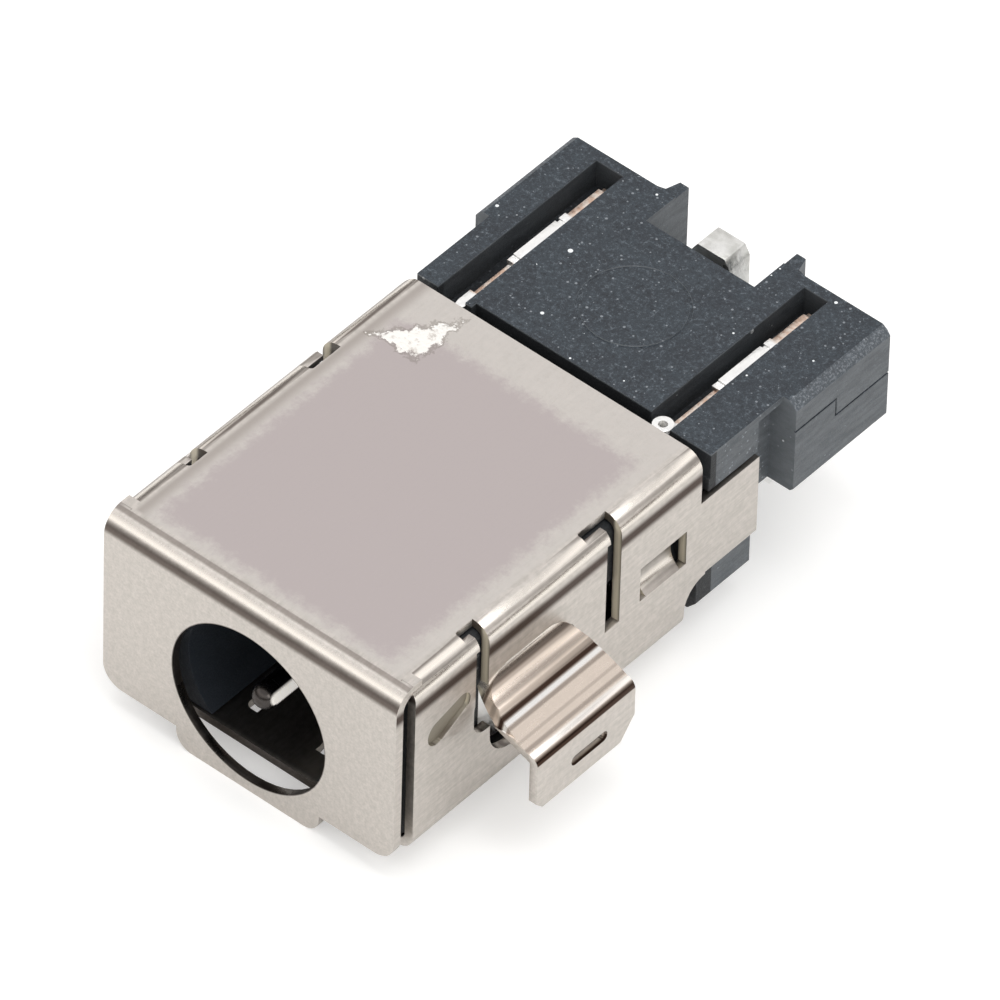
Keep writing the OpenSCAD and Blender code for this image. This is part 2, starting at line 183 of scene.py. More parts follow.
def ramp(tree, value, low, high, to_low=0.0, to_high=1.0):
    node = tree.nodes.new("ShaderNodeMapRange")
    node.interpolation_type = "SMOOTHSTEP"
    node.inputs["From Min"].default_value = low
    node.inputs["From Max"].default_value = high
    node.inputs["To Min"].default_value = to_low
    node.inputs["To Max"].default_value = to_high
    tree.links.new(value, node.inputs["Value"])
    return node.outputs["Result"]


def pulse(tree, value, centre, half):
    # full strength over the inner quarter, then falling off to nothing at half
    offset = math_node(tree, "ABSOLUTE", math_node(tree, "SUBTRACT", value, centre))
    return ramp(tree, offset, 0.25 * half, half, 1.0, 0.0)


def product(tree, first, *others):
    for other in others:
        first = math_node(tree, "MULTIPLY", first, other)
    return first


def strongest(tree, masks):
    most = masks[0]
    for mask in masks[1:]:
        most = math_node(tree, "MAXIMUM", most, mask)
    return most


def split(tree, vector):
    parts = tree.nodes.new("ShaderNodeSeparateXYZ")
    tree.links.new(vector, parts.inputs[0])
    return parts.outputs


def facing(tree):
    return split(tree, tree.nodes.new("ShaderNodeNewGeometry").outputs["Normal"])


def absolute(tree, value):
    return math_node(tree, "ABSOLUTE", value)


def blend_colour(tree, mask, first, second):
    node = tree.nodes.new("ShaderNodeMix")
    node.data_type = "RGBA"
    for slot, value in ((node.inputs[0], mask), (node.inputs[6], first), (node.inputs[7], second)):
        if isinstance(value, (tuple, list)):
            slot.default_value = (*value, 1.0)
        elif isinstance(value, (int, float)):
            slot.default_value = value
        else:
            tree.links.new(value, slot)
    return node.outputs[2]


def srgb(red, green, blue):
    def linear(level):
        level = level / 255
        return level / 12.92 if level <= 0.04045 else ((level + 0.055) / 1.055) ** 2.4

    return (linear(red), linear(green), linear(blue))


print("a mid grey of 128 is", round(srgb(128, 128, 128)[0], 3), "in linear light")


# %% [markdown]
# ### Fold mask
# A fold is where the surface faces between two axes, which the normal tells. The nylon's
# rubbed edges use this mask, and so does the painted highlight along the folds of the contacts.

# %% Fold mask group
def fold_polish_group():
    tree, start, end = shader_group("fold polish", {"Sharpness": 0.04}, ["Fold"])
    nearest_axis = strongest(tree, [absolute(tree, part) for part in facing(tree)])
    away = math_node(tree, "SUBTRACT", 1.0, nearest_axis)
    fold = math_node(tree, "DIVIDE", away, start.outputs["Sharpness"], clamp=True)
    tree.links.new(fold, end.inputs["Fold"])
    return tree


fold_polish = fold_polish_group()
print("group:", fold_polish.name)


# %% [markdown]
# ### Fold bands
# A folded edge isn't one even highlight. A painted highlight lies along the middle of the bend,
# and a painted dark reflection line where the bend runs out into the wall below the top face.
# The painted highlights and dark bands follow the tilt of the surface, and the dark reflection
# lines lie at a fixed height. All of them are measured on the sheet, so they stay put whichever
# way it is seen.

# %% Fold bands group
# Bands are (tilt of the surface in degrees, half width in degrees, strength).
BRIGHT_BANDS = {"mouth": ((41, 18, 1.0),), "side": ((27, 14, 1.0), (64, 15, 1.0))}
DULL_BANDS = {"mouth": ((16, 10, 0.6),), "side": ((45, 9, 0.4),), "left": ((13, 11, 0.75),)}
MOUTH_LINE = {"height": 3.05, "half": 0.2, "strength": 0.8}
SIDE_LINE = {"height": 2.71, "half": 0.29, "strength": 0.97}


def tilt_bands(tree, tilt, bands, folds):
    return strongest(tree, [
        product(tree, pulse(tree, tilt, centre, half), folds[fold], strength)
        for fold, rows in bands.items() for centre, half, strength in rows
    ])


def tarnished_line(tree, height, line, fold, width):
    off = absolute(tree, math_node(tree, "SUBTRACT", height, line["height"]))
    off = math_node(tree, "DIVIDE", off, math_node(tree, "MULTIPLY", width, line["half"]))
    return product(tree, ramp(tree, off, 0.2, 1.0, 1.0, 0.0), fold, line["strength"])


def fold_bands_group():
    tree, start, end = shader_group("fold bands", {"Line width": 1.0}, ["Bright", "Dark"])
    normal = facing(tree)
    height = split(tree, millimetres(tree))[2]
    upright = math_node(tree, "SUBTRACT", absolute(tree, normal[0]), absolute(tree, normal[1]))
    side = ramp(tree, upright, -0.1, 0.1)
    folds = {"side": side, "mouth": math_node(tree, "SUBTRACT", 1.0, side)}
    folds["left"] = product(tree, side, ramp(tree, normal[0], 0.0, -0.05))
    # kept just under 1, where the arccosine stays defined
    tilt = math_node(tree, "ARCCOSINE", math_node(tree, "MINIMUM", normal[2], 0.99999))
    tilt = math_node(tree, "MULTIPLY", tilt, 180 / math.pi)
    width = start.outputs["Line width"]
    # painted dark reflections: the dull bands and the dark lines at fixed heights
    dark = strongest(tree, [
        tilt_bands(tree, tilt, DULL_BANDS, folds),
        tarnished_line(tree, height, MOUTH_LINE, folds["mouth"], width),
        tarnished_line(tree, height, SIDE_LINE, folds["side"], width),
    ])
    # painted highlights along the middle of the bends
    tree.links.new(tilt_bands(tree, tilt, BRIGHT_BANDS, folds), end.inputs["Bright"])
    tree.links.new(dark, end.inputs["Dark"])
    return tree


fold_bands = fold_bands_group()
print("group:", fold_bands.name)
# the tarnished lines printed here are painted dark reflection lines
print("tarnished lines at", MOUTH_LINE["height"], "and", SIDE_LINE["height"], "mm")


# %% [markdown]
# ### Painted reflections on the tabs
# Lines that run along each solder tab are painted reflections: dark lines and bright highlights.
# They are counted from the wall (0) to the outer face (1).

# %% Tab reflections group
# Lines are (place from wall to outer face, half width, strength).
TAB_MARKS = ((0.04, 0.04, 0.75), (0.21, 0.06, 0.4), (0.37, 0.06, 1.0), (0.50, 0.04, 0.5),
             (0.69, 0.03, 0.25), (0.81, 0.04, 0.45), (0.985, 0.05, 1.0))
TAB_SHINES = ((0.44, 0.05, 1.0), (0.90, 0.06, 0.7))
TAB_REACH = {"right": 1.95, "left": 1.75}
SIDE_WALL = 4.7


def press_marks_group():
    tree, start, end = shader_group("press marks", {"Wall": SIDE_WALL}, ["Tab", "Mark", "Shine"])
    place = split(tree, millimetres(tree))
    away = math_node(tree, "SUBTRACT", absolute(tree, place[0]), start.outputs["Wall"])
    right = math_node(tree, "GREATER_THAN", place[0], 0.0)
    per_mm = {side: 1 / reach for side, reach in TAB_REACH.items()}
    gain = math_node(tree, "MULTIPLY_ADD", right, per_mm["right"] - per_mm["left"], per_mm["left"])
    share = math_node(tree, "MULTIPLY", away, gain)
    tab = product(tree, ramp(tree, facing(tree)[2], 0.1, 0.25), ramp(tree, away, 0.0, 0.04))
    tree.links.new(tab, end.inputs["Tab"])
    for label, lines in (("Mark", TAB_MARKS), ("Shine", TAB_SHINES)):
        line = strongest(tree, [
            product(tree, pulse(tree, share, centre, half), strength)
            for centre, half, strength in lines
        ])
        tree.links.new(product(tree, line, tab), end.inputs[label])
    return tree


press_marks = press_marks_group()
print("group:", press_marks.name)
print("dark lines:", len(TAB_MARKS), "bright lines:", len(TAB_SHINES))


# %% [markdown]
# ### Rolled grain
# Strip steel comes off the mill with a faint grain along the coil, and plating adds a fine mottle.
# One noise is stretched along the coil, one is round, and their sum serves as tone and height.

# %% Rolled grain group
COIL_STRETCH = (9.0, 0.8, 9.0)


def rolled_grain_group():
    tree, start, end = shader_group("rolled grain", {"Mottle": 0.5}, ["Tone", "Height"])
    streak = noise(tree, millimetres(tree, COIL_STRETCH), scale=1.6, detail=4.0, roughness=0.6)
    mottle = noise(tree, millimetres(tree), scale=6.0, detail=5.0, roughness=0.62)
    fine = noise(tree, millimetres(tree), scale=42.0, detail=2.0, roughness=0.5)
    mixed = math_node(tree, "MULTIPLY", mottle, start.outputs["Mottle"])
    tone = math_node(tree, "MULTIPLY_ADD", streak, 0.5, mixed)
    tree.links.new(tone, end.inputs["Tone"])
    tree.links.new(math_node(tree, "MULTIPLY_ADD", fine, 0.6, tone), end.inputs["Height"])
    return tree


rolled_grain = rolled_grain_group()
print("group:", rolled_grain.name)


# %% [markdown]
# ### Fibre glints
# Glass fibre ends show on moulded nylon as tiny pale points. Cells are scattered over the
# surface, and only a cell's centre shows, on the few cells whose own random value is high.

# %% Fibre glints group
def fibre_glints_group():
    sockets = {"Cells per mm": 7.0, "Share": 0.1, "Size": 0.2}
    tree, start, end = shader_group("fibre glints", sockets, ["Glint"])
    cells = tree.nodes.new("ShaderNodeTexVoronoi")
    cells.feature = "F1"
    tree.links.new(millimetres(tree), cells.inputs["Vector"])
    tree.links.new(start.outputs["Cells per mm"], cells.inputs["Scale"])
    pick = tree.nodes.new("ShaderNodeSeparateXYZ")
    tree.links.new(cells.outputs["Color"], pick.inputs[0])
    limit = math_node(tree, "SUBTRACT", 1.0, start.outputs["Share"])
    chosen = math_node(tree, "GREATER_THAN", pick.outputs[0], limit)
    reach = math_node(tree, "MULTIPLY", start.outputs["Size"], pick.outputs[1])
    inside = math_node(tree, "LESS_THAN", cells.outputs["Distance"], reach)
    tree.links.new(math_node(tree, "MULTIPLY", chosen, inside), end.inputs["Glint"])
    return tree


fibre_glints = fibre_glints_group()
print("group:", fibre_glints.name)


# %% Helpers for materials
def new_material(name, roughness, metallic):
    material = bpy.data.materials.new(name)
    material.use_nodes = True
    tree = material.node_tree
    shader = tree.nodes["Principled BSDF"]
    shader.inputs["Roughness"].default_value = roughness
    shader.inputs["Metallic"].default_value = metallic
    return material, tree, shader


def place_group(tree, group, **values):
    node = tree.nodes.new("ShaderNodeGroup")
    node.node_tree = group
    for label, value in values.items():
        node.inputs[label.replace("_", " ")].default_value = value
    return node


def add_bump(tree, shader, height, strength, distance_mm):
    bump = tree.nodes.new("ShaderNodeBump")
    bump.inputs["Strength"].default_value = strength
    bump.inputs["Distance"].default_value = distance_mm * MM
    tree.links.new(height, bump.inputs["Height"])
    tree.links.new(bump.outputs["Normal"], shader.inputs["Normal"])
    return bump


def level_normal(tree, mask):
    # sliver facets on a flat top would mirror a stray direction, so the top faces straight up
    level = tree.nodes.new("ShaderNodeMix")
    level.data_type = "VECTOR"
    tree.links.new(mask, level.inputs[0])
    tree.links.new(tree.nodes.new("ShaderNodeNewGeometry").outputs["Normal"], level.inputs[4])
    level.inputs[5].default_value = (0.0, 0.0, 1.0)
    return level.outputs[1]


def dress(piece, material):
    piece.data.materials.clear()
    piece.data.materials.append(material)


print("material helpers ready")


# %% [markdown]
# ## Zones
# Much of a finish belongs to one place: a groove that stays dark, a face inside a slit, the
# flat top. A zone is a box in millimetres from the centre of the mouth. Each axis gives a rising
# and a falling edge as soft steps, and None leaves that side open. Width counts from the middle
# outwards, so one zone serves the left and the right half. Strength is how far the zone shows.

# %% Zone helpers
OPEN = (None, None)


def soft_steps(tree, value, rise, fall):
    steps = []
    if rise:
        steps.append(ramp(tree, value, *rise))
    if fall:
        steps.append(ramp(tree, value, *fall, 1.0, 0.0))
    return steps


def zone(tree, place, wide=OPEN, along=OPEN, height=OPEN, strength=1.0):
    steps = soft_steps(tree, place[1], *along) + soft_steps(tree, place[2], *height)
    if wide != OPEN:
        steps += soft_steps(tree, absolute(tree, place[0]), *wide)
    return product(tree, *steps, strength)


print("zone helpers ready")


# %% [markdown]
# ## Plated shell
# The shell is satin nickel over steel. Its top carries a calm, slightly mauve field where a
# pickup pad was pressed on, inside a creamier, mottled border, and a scuff near the rear left
# corner where the plating was dragged. Folds are smoother and carry painted highlights and
# painted dark reflection lines, and the sheared faces in the slits show dull steel.

# %% Masks that belong to the shell's top
top_z = cad_high.z / MM
TOP_ZONE = {"wide": (None, (4.06, 4.2)), "along": ((0.56, 0.7), None),
            "height": ((top_z - 0.06, top_z - 0.02), None)}
TOP_FIELD = {"centre": (-0.02, 5.3), "half": (4.0, 4.75), "corner": 0.5,
             "ragged": 1.2, "fade": (0.05, 0.6)}
SCUFF = {"front": 8.87, "right": -2.5, "corner": (-3.6, 8.92), "slope": (0.788, -0.616),
         "bulge": 0.16, "ragged": 0.9}


def field_mask(tree, place, wobble):
    edges = []
    for axis in (0, 1):
        offset = absolute(tree, math_node(tree, "SUBTRACT", place[axis], TOP_FIELD["centre"][axis]))
        edges.append(math_node(tree, "SUBTRACT", TOP_FIELD["half"][axis], offset))
    inside = math_node(tree, "SMOOTH_MIN", edges[0], edges[1], TOP_FIELD["corner"])
    inside = math_node(tree, "MULTIPLY_ADD", wobble, TOP_FIELD["ragged"], inside)
    return ramp(tree, inside, *TOP_FIELD["fade"])


def scuff_depth(tree, place, wobble):
    front = math_node(tree, "SUBTRACT", place[1], SCUFF["front"])
    right = math_node(tree, "SUBTRACT", SCUFF["right"], place[0])
    across = math_node(tree, "SUBTRACT", place[0], SCUFF["corner"][0])
    across = math_node(tree, "MULTIPLY", across, SCUFF["slope"][0])
    along = math_node(tree, "SUBTRACT", place[1], SCUFF["corner"][1])
    left = math_node(tree, "MULTIPLY_ADD", along, SCUFF["slope"][1], across)
    left = math_node(tree, "ADD", left, SCUFF["bulge"])
    inside = math_node(tree, "MINIMUM", math_node(tree, "MINIMUM", front, right), left)
    return math_node(tree, "MULTIPLY_ADD", wobble, SCUFF["ragged"], inside)


print("top at z =", round(top_z, 2), "mm, field half size in mm:", TOP_FIELD["half"])


# %% [markdown]
# ### Dark places of the shell
# Little light reaches the gap behind the mouth plate, the wall of the opening, the floor and the
# bridges. Bright metal would still mirror the surround there, so each place is a zone that is
# tinted dark. The sheared faces in the slits are dull, with dark borders beside a bare line.

# %% Masks that belong to the inside of the shell
SLIT_WALLS = {"wide": ((3.88, 3.92), (4.72, 4.76)), "along": ((0.73, 0.77), (10.58, 10.62)),
              "height": ((-0.4, -0.3), None)}
SILL = {"wide": (None, (3.8, 3.9)), "along": ((0.18, 0.22), (1.18, 1.22)),
        "height": (None, (-1.72, -1.68)), "strength": 0.8}
MOUTH_GAP = {"wide": ((4.15, 4.25), None), "along": ((0.253, 0.277), (0.518, 0.542)),
             "height": (None, (2.7, 2.8))}
FLOOR = {"wide": (None, (4.3, 4.4)), "along": ((0.5, 0.7), None),
         "height": (None, (-0.9, -0.8)), "strength": 0.6}
BRIDGE = {"wide": ((4.0, 4.1), (4.66, 4.69)), "along": ((8.93, 8.97), (10.23, 10.27)),
          "height": ((0.35, 1.15), (1.5, 2.3)), "strength": 0.75}
POCKET = {"wide": (None, (4.67, 4.69)), "along": ((0.88, 0.92), (2.58, 2.62)),
          "height": ((0.88, 0.92), (2.18, 2.22))}
MOUTH_PLATE = {"along": ((-0.12, -0.08), (0.28, 0.32)), "strength": 0.8}
MOUTH_WALL_RADIUS = (2.405, 2.43)
BARE_LINE = {"centre": 4.56, "half": 0.16}
SLIT_BORDER = 0.9
FACES_MOUTH = (-0.6, -0.85)
FACES_UP = (0.3, 0.6)


def slit_wall_masks(tree, place):
    # the sheared face in a slit, its dark borders, and the sill below the mouth
    toward_mouth = ramp(tree, facing(tree)[1], *FACES_MOUTH)
    wall = product(tree, toward_mouth, zone(tree, place, **SLIT_WALLS))
    bare = pulse(tree, absolute(tree, place[0]), **BARE_LINE)
    border = math_node(tree, "MULTIPLY_ADD", bare, -SLIT_BORDER, SLIT_BORDER)
    sill = product(tree, toward_mouth, zone(tree, place, **SILL))
    return wall, math_node(tree, "MULTIPLY", wall, border), sill


def mouth_wall_mask(tree, place):
    from_axis = math_node(tree, "POWER", place[0], 2.0)
    from_axis = math_node(tree, "MULTIPLY_ADD", place[2], place[2], from_axis)
    near, far = (radius ** 2 for radius in MOUTH_WALL_RADIUS)
    on_wall = ramp(tree, from_axis, near, far, 1.0, 0.0)
    return product(tree, on_wall, zone(tree, place, **MOUTH_PLATE))


def shade_masks(tree, place):
    wall, border, sill = slit_wall_masks(tree, place)
    shade = strongest(tree, [
        border,
        sill,
        mouth_wall_mask(tree, place),
        zone(tree, place, **MOUTH_GAP),
        zone(tree, place, **BRIDGE),
        product(tree, ramp(tree, facing(tree)[2], *FACES_UP), zone(tree, place, **FLOOR)),
    ])
    return wall, shade


print("dark places inside the shell: slits, sill, gap, mouth wall, floor and bridges")


# %% [markdown]
# ### Colours of the shell
# The colour is laid on in layers, from the bare sheet up: first the border, field and scuff of
# the top, then the painted highlights on the folds and tabs, the tab tint and the darker pocket,
# then the painted dark reflection lines, and last the painted shade of the dark places.

# %% Colour of the shell, from the sheet up to its painted light and shade
def tints(**levels):
    return {name: srgb(*level) for name, level in levels.items()}


# among these tints are painted highlights for folds and tabs, a painted dark reflection tint and a
# painted shade tint
SHELL = tints(
    dull=(196, 191, 184), clear=(224, 217, 211), border=(211, 206, 201), left_edge=(174, 166, 160),
    field=(192, 183, 182), scuff_outline=(120, 112, 100), dragged=(218, 213, 207), bare=(250, 248, 244),
    polished=(241, 234, 225), tab=(231, 216, 202), tab_shine=(252, 250, 247), pocket=(154, 148, 134),
    tarnish=(70, 54, 46), sheared=(206, 197, 176), shade=(44, 34, 30),
)
SHELL_STRENGTH = {"left_edge": 0.8, "scuff_outline": 0.35, "tab": 0.85, "pocket": 0.85}
TONE_RANGE = (0.3, 0.75)
LEFT_EDGE = (-3.7, -4.05)
SCUFF_OUTLINE = {"centre": -0.03, "half": 0.08}
SCUFF_EDGE = (0.0, 0.06)


def top_colour(tree, colour, place, on_top, field, depth, ragged):
    flecks = noise(tree, millimetres(tree), scale=9.0, detail=4.0, roughness=0.7)
    border = product(tree, ramp(tree, flecks, 0.3, 0.7, 0.5, 1.0), on_top)
    colour = blend_colour(tree, border, colour, SHELL["border"])
    left_edge = ramp(tree, place[0], *LEFT_EDGE)
    left_edge = product(tree, left_edge, on_top, SHELL_STRENGTH["left_edge"])
    colour = blend_colour(tree, left_edge, colour, SHELL["left_edge"])
    colour = blend_colour(tree, field, colour, SHELL["field"])
    outline = pulse(tree, depth, **SCUFF_OUTLINE)
    outline = product(tree, outline, on_top, SHELL_STRENGTH["scuff_outline"])
    colour = blend_colour(tree, outline, colour, SHELL["scuff_outline"])
    dragged = blend_colour(tree, ramp(tree, ragged, -0.14, 0.0), SHELL["dragged"], SHELL["bare"])
    scuff = math_node(tree, "MULTIPLY", ramp(tree, depth, *SCUFF_EDGE), on_top)
    return blend_colour(tree, scuff, colour, dragged), scuff


def marked_colour(tree, colour, bands, marks, pocket):
    # painted highlights on the folds and tabs, the tab tint, the darker pocket, then painted dark
    # reflections
    colour = blend_colour(tree, bands.outputs["Bright"], colour, SHELL["polished"])
    tab = math_node(tree, "MULTIPLY", marks.outputs["Tab"], SHELL_STRENGTH["tab"])
    colour = blend_colour(tree, tab, colour, SHELL["tab"])
    colour = blend_colour(tree, marks.outputs["Shine"], colour, SHELL["tab_shine"])
    pocket = product(tree, pocket, SHELL_STRENGTH["pocket"])
    colour = blend_colour(tree, pocket, colour, SHELL["pocket"])
    colour = blend_colour(tree, bands.outputs["Dark"], colour, SHELL["tarnish"])
    return blend_colour(tree, marks.outputs["Mark"], colour, SHELL["tarnish"])


print("shell tints:", len(SHELL))


# %% Roughness and bump of the shell
SHELL_ROUGHNESS = {"low": 0.34, "high": 0.42, "field": 0.06, "polished": -0.12, "worn": 0.2}
SHELL_CALM = {"field": 0.85, "polished": 0.9}
DENTS = 4.0


def shell_roughness(tree, tone, field, polished, worn):
    low, high = SHELL_ROUGHNESS["low"], SHELL_ROUGHNESS["high"]
    rough = ramp(tree, tone, *TONE_RANGE, low, high)
    for label, mask in (("field", field), ("polished", polished), ("worn", worn)):
        rough = math_node(tree, "MULTIPLY_ADD", mask, SHELL_ROUGHNESS[label], rough)
    return rough


def shell_height(tree, grain_height, field, polished, scuff):
    calm_field = math_node(tree, "MULTIPLY_ADD", field, -SHELL_CALM["field"], 1.0)
    calm_folds = math_node(tree, "MULTIPLY_ADD", polished, -SHELL_CALM["polished"], 1.0)
    height = product(tree, grain_height, calm_field, calm_folds)
    dents = noise(tree, millimetres(tree), scale=7.0, detail=3.0, roughness=0.6)
    dents = math_node(tree, "MULTIPLY", scuff, dents)
    return math_node(tree, "MULTIPLY_ADD", dents, DENTS, height)


print("the field is", SHELL_ROUGHNESS["field"], "rougher than the border")


# %% Shell material
SHEARED_METALLIC = 0.15


def shell_material():
    material, tree, shader = new_material("plated shell", roughness=0.36, metallic=1.0)
    place = split(tree, millimetres(tree))
    grain = place_group(tree, rolled_grain, Mottle=0.5)
    bands = place_group(tree, fold_bands, Line_width=1.0)
    marks = place_group(tree, press_marks, Wall=SIDE_WALL)
    wobble = noise(tree, millimetres(tree), scale=2.6, detail=7.0, roughness=0.75)
    ragged = noise(tree, millimetres(tree), scale=3.5, detail=5.0, roughness=0.7)
    wobble, ragged = (math_node(tree, "SUBTRACT", value, 0.5) for value in (wobble, ragged))
    on_top = zone(tree, place, **TOP_ZONE)
    pocket = zone(tree, place, **POCKET)
    field = math_node(tree, "MULTIPLY", field_mask(tree, place, wobble), on_top)
    depth = scuff_depth(tree, place, ragged)
    wall, shade = shade_masks(tree, place)

    tone = grain.outputs["Tone"]
    colour = blend_colour(tree, ramp(tree, tone, *TONE_RANGE), SHELL["dull"], SHELL["clear"])
    colour, scuff = top_colour(tree, colour, place, on_top, field, depth, ragged)
    colour = marked_colour(tree, colour, bands, marks, pocket)
    colour = blend_colour(tree, wall, colour, SHELL["sheared"])
    colour = blend_colour(tree, shade, colour, SHELL["shade"])
    tree.links.new(colour, shader.inputs["Base Color"])
    metallic = math_node(tree, "MULTIPLY_ADD", wall, SHEARED_METALLIC - 1.0, 1.0)
    tree.links.new(metallic, shader.inputs["Metallic"])

    # the painted highlight band also lowers the roughness and calms the bump
    polished = bands.outputs["Bright"]
    worn = math_node(tree, "MAXIMUM", scuff, pocket)
    rough = shell_roughness(tree, tone, field, polished, worn)
    tree.links.new(rough, shader.inputs["Roughness"])
    height = shell_height(tree, grain.outputs["Height"], field, polished, scuff)
    bump = add_bump(tree, shader, height, strength=0.4, distance_mm=0.014)
    tree.links.new(level_normal(tree, on_top), bump.inputs["Normal"])
    return material


dress(nodes["shell"], shell_material())
print("dressed the shell")


# %% [markdown]
# ## Glass-filled nylon
# The housing is slate black with a faint green-blue cast, a sandblasted grain from its mould,
# and pale fibre glints. Steep faces carry a painted lighter tone in streaks, and faces toward the
# front are painted a little lighter, as the light falls on them. Rubbed edges are a little lighter
# than the faces, and painted shade keeps the grooves, the inside of the shell and the bore dark.

# %% Painted shade in the dark places of the housing
# hidden and bore are painted shade; streak and front are painted light
HOUSING = tints(
    deep=(36, 43, 51), body=(46, 55, 63), sand=(84, 93, 101), speck=(108, 117, 125), pit=(16, 21, 28),
    grit=(22, 27, 33), streak=(108, 113, 117), front=(136, 142, 147), rubbed=(136, 142, 148),
    small_glint=(160, 166, 172), glint=(236, 240, 242), hidden=(16, 18, 21), bore=(30, 38, 47),
)
INSIDE = {"wide": (None, (4.45, 4.5)), "along": (None, (10.8, 10.9))}
DECK_GROOVE = {"along": ((10.68, 10.72), (11.54, 11.58)), "height": (None, (3.08, 3.14))}
CHANNEL = {"wide": ((2.48, 2.52), (4.0, 4.04)), "along": ((10.68, 10.72), (17.23, 17.27)),
           "height": ((0.3, 0.4), (3.08, 3.14)), "strength": 0.75}
PARTING_LINE = {"wide": ((4.9, 4.96), (5.02, 5.03))}
BORE = {"wide": (None, (2.9, 3.0)), "along": (None, (10.5, 10.6)), "strength": 0.9}
HIDDEN_STRENGTH = 0.9
FACES_SIDE = (0.9, 0.98)


def darken_hidden(tree, colour, place, normal):
    # painted shade inside the shell, in the deck groove, the channels and the parting line, and a
    # blue-grey painted shade in the bore
    on_side = ramp(tree, absolute(tree, normal[0]), *FACES_SIDE)
    hidden = strongest(tree, [
        zone(tree, place, **INSIDE),
        zone(tree, place, **DECK_GROOVE),
        zone(tree, place, **CHANNEL),
        product(tree, on_side, zone(tree, place, **PARTING_LINE)),
    ])
    hidden = product(tree, hidden, HIDDEN_STRENGTH)
    colour = blend_colour(tree, hidden, colour, HOUSING["hidden"])
    return blend_colour(tree, zone(tree, place, **BORE), colour, HOUSING["bore"])


print("housing tints:", len(HOUSING))


# %% Moulded grain and painted lighter faces of the housing
# Each layer is (noise, limits of the noise, strength, tint).
GRAIN_LAYERS = (
    ("sand", (0.48, 0.72), 0.8, "sand"),
    ("specks", (0.53, 0.66), 0.75, "speck"),
    ("specks", (0.46, 0.36), 0.75, "pit"),
    ("grit", (0.52, 0.4), 0.45, "grit"),
)
STEEP = (0.6, 0.3)
STREAK_STRETCH = (1.0, 0.5, 2.5)
STREAK_STRENGTH = (0.45, 0.85)
FACES_FRONT = (-0.5, -0.8)
FRONT_STRENGTH = 0.35
RUBBED_STRENGTH = {"least": 0.2, "chips": 0.4}


def moulded_grain(tree, sand):
    large = noise(tree, millimetres(tree), scale=1.4, detail=5.0, roughness=0.6)
    grit = noise(tree, millimetres(tree), scale=30.0, detail=3.0, roughness=0.7)
    specks = noise(tree, millimetres(tree), scale=7.0, detail=6.0, roughness=0.8)
    patterns = {"sand": sand, "specks": specks, "grit": grit}
    colour = blend_colour(tree, ramp(tree, large, 0.35, 0.65), HOUSING["deep"], HOUSING["body"])
    for pattern, limits, strength, tint in GRAIN_LAYERS:
        mask = ramp(tree, patterns[pattern], *limits, 0.0, strength)
        colour = blend_colour(tree, mask, colour, HOUSING[tint])
    return colour


def lighter_faces(tree, colour, normal, sand):
    place = millimetres(tree, STREAK_STRETCH)
    streaks = noise(tree, place, scale=2.2, detail=4.0, roughness=0.6)
    streaks = ramp(tree, streaks, 0.3, 0.7, *STREAK_STRENGTH)
    # painted light: steep faces are lighter, in streaks
    flank = product(tree, ramp(tree, normal[2], *STEEP), streaks)
    colour = blend_colour(tree, flank, colour, HOUSING["streak"])
    # painted light: faces toward the front are lighter
    front = product(tree, ramp(tree, normal[1], *FACES_FRONT), FRONT_STRENGTH)
    colour = blend_colour(tree, front, colour, HOUSING["front"])
    folds = place_group(tree, fold_polish, Sharpness=0.2)
    chips = ramp(tree, sand, 0.5, 0.58)
    chips = math_node(tree, "MULTIPLY_ADD", chips, RUBBED_STRENGTH["chips"], RUBBED_STRENGTH["least"])
    rubbed = product(tree, folds.outputs["Fold"], chips)
    return blend_colour(tree, rubbed, colour, HOUSING["rubbed"])


print("grain layers on the nylon:", len(GRAIN_LAYERS))


# %% Housing material
SMALL_GLINT_STRENGTH = 0.55


def housing_material():
    material, tree, shader = new_material("glass-filled nylon", roughness=0.55, metallic=0.0)
    place = split(tree, millimetres(tree))
    normal = facing(tree)
    sand = noise(tree, millimetres(tree), scale=16.0, detail=4.0, roughness=0.7)
    big_glints = place_group(tree, fibre_glints, Cells_per_mm=3.4, Share=0.14, Size=0.24)
    small_glints = place_group(tree, fibre_glints, Cells_per_mm=11.0, Share=0.14, Size=0.4)
    colour = lighter_faces(tree, moulded_grain(tree, sand), normal, sand)
    small = product(tree, small_glints.outputs["Glint"], SMALL_GLINT_STRENGTH)
    colour = blend_colour(tree, small, colour, HOUSING["small_glint"])
    colour = blend_colour(tree, big_glints.outputs["Glint"], colour, HOUSING["glint"])
    tree.links.new(darken_hidden(tree, colour, place, normal), shader.inputs["Base Color"])
    tree.links.new(ramp(tree, sand, 0.3, 0.7, 0.48, 0.66), shader.inputs["Roughness"])
    add_bump(tree, shader, sand, strength=0.6, distance_mm=0.03)
    return material


dress(nodes["housing"], housing_material())
print("dressed the housing")


# %% [markdown]
# ## Pin
# The pin is turned and brightly plated, but it stands in a black bore and mirrors that, so the
# dark reflection is painted into its colour. Only a painted highlight, a streak along its right
# side, stays bright. The streak lies where the surface faces right, and glows a little, because
# almost no light reaches it.

# %% Pin material
STREAK_TOWARD = {"x": 0.97, "z": 0.24}
STREAK_EDGE = (0.82, 0.95)
STREAK_GLOW = (0.5, 0.48, 0.45)
STREAK_METALLIC = 0.3
OFF_TIP = (-0.75, -0.45)
BORE_DARKENS = 0.93
PIN = tints(turned=(232, 226, 216), bright=(246, 242, 236), dark=(38, 31, 31))


def pin_streak(tree):
    normal = facing(tree)
    sideways = math_node(tree, "MULTIPLY", normal[0], STREAK_TOWARD["x"])
    toward = math_node(tree, "MULTIPLY_ADD", normal[2], STREAK_TOWARD["z"], sideways)
    off_tip = ramp(tree, normal[1], *OFF_TIP)
    return math_node(tree, "MULTIPLY", ramp(tree, toward, *STREAK_EDGE), off_tip)


